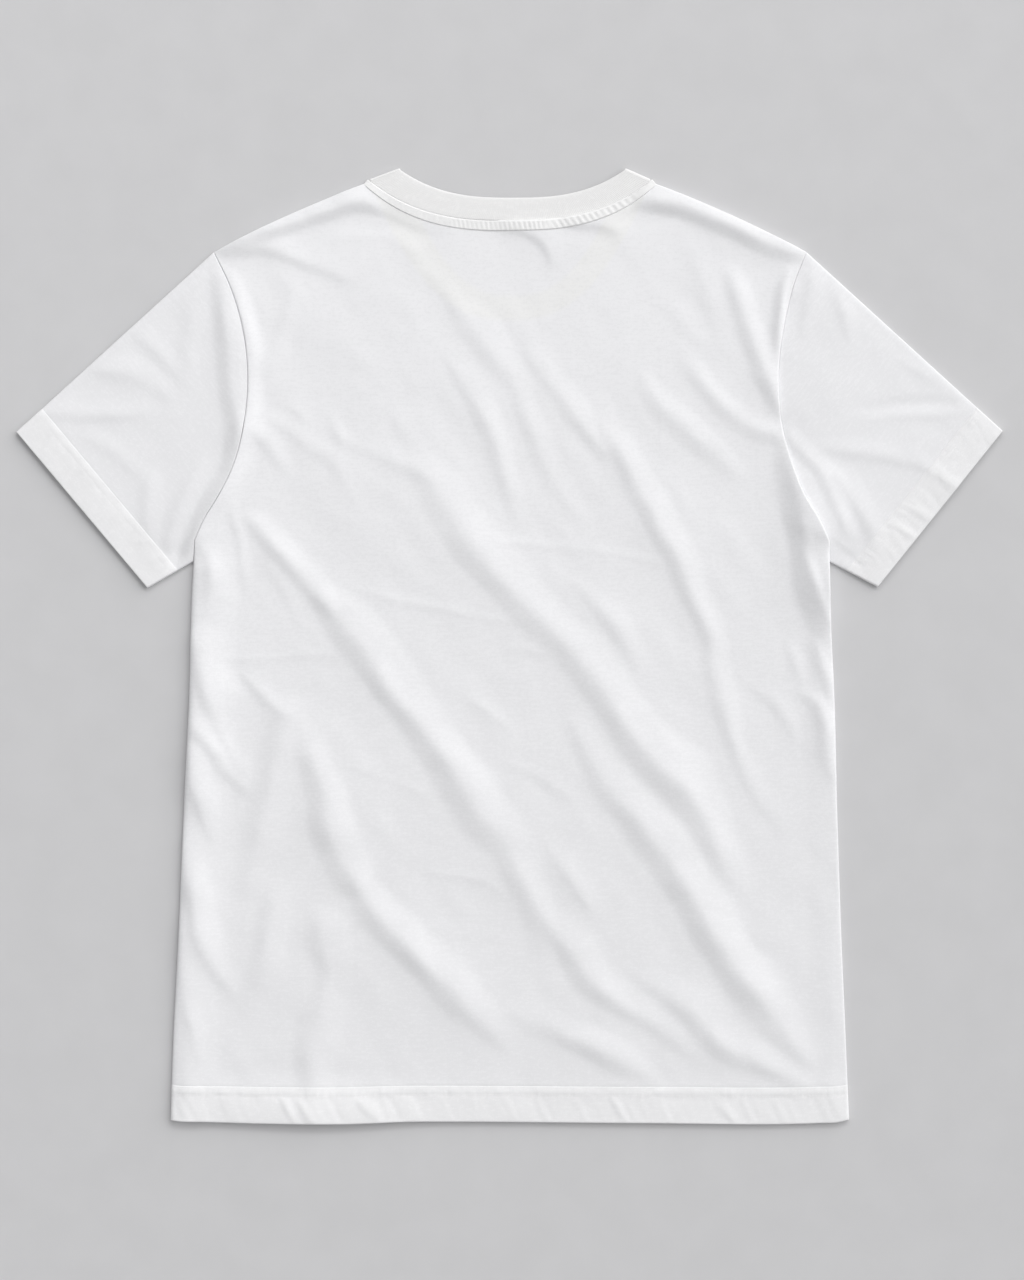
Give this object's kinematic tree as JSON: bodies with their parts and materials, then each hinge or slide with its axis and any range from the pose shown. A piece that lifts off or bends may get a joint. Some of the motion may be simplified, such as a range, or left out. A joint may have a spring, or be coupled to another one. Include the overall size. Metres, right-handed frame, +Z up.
{
  "type": "crew-neck t-shirt",
  "caption": "Short-sleeved crew-neck T-shirt lying flat on its front, back panel up, with a rib neck, turned-up hem and cuffs and soft diagonal folds.",
  "frame": {"origin": "centre of the laid-out garment's outline, on the surface it lies on", "axes": "+Z up from the surface, through the front panel to the back panel; +Y from the hem to the neck; +X to the right as seen from above, cuff to cuff"},
  "size_m": [0.7684, 0.744, 0.009],
  "materials": {
    "white_jersey": "matt white cotton single jersey",
    "white_rib": "matt white cotton rib knit"
  },
  "bodies": {
    "root": {"front_panel": "white_jersey", "back_panel": "white_jersey", "left_sleeve": "white_jersey", "right_sleeve": "white_jersey", "collar_rib": "white_rib"}
  },
  "joints": []
}
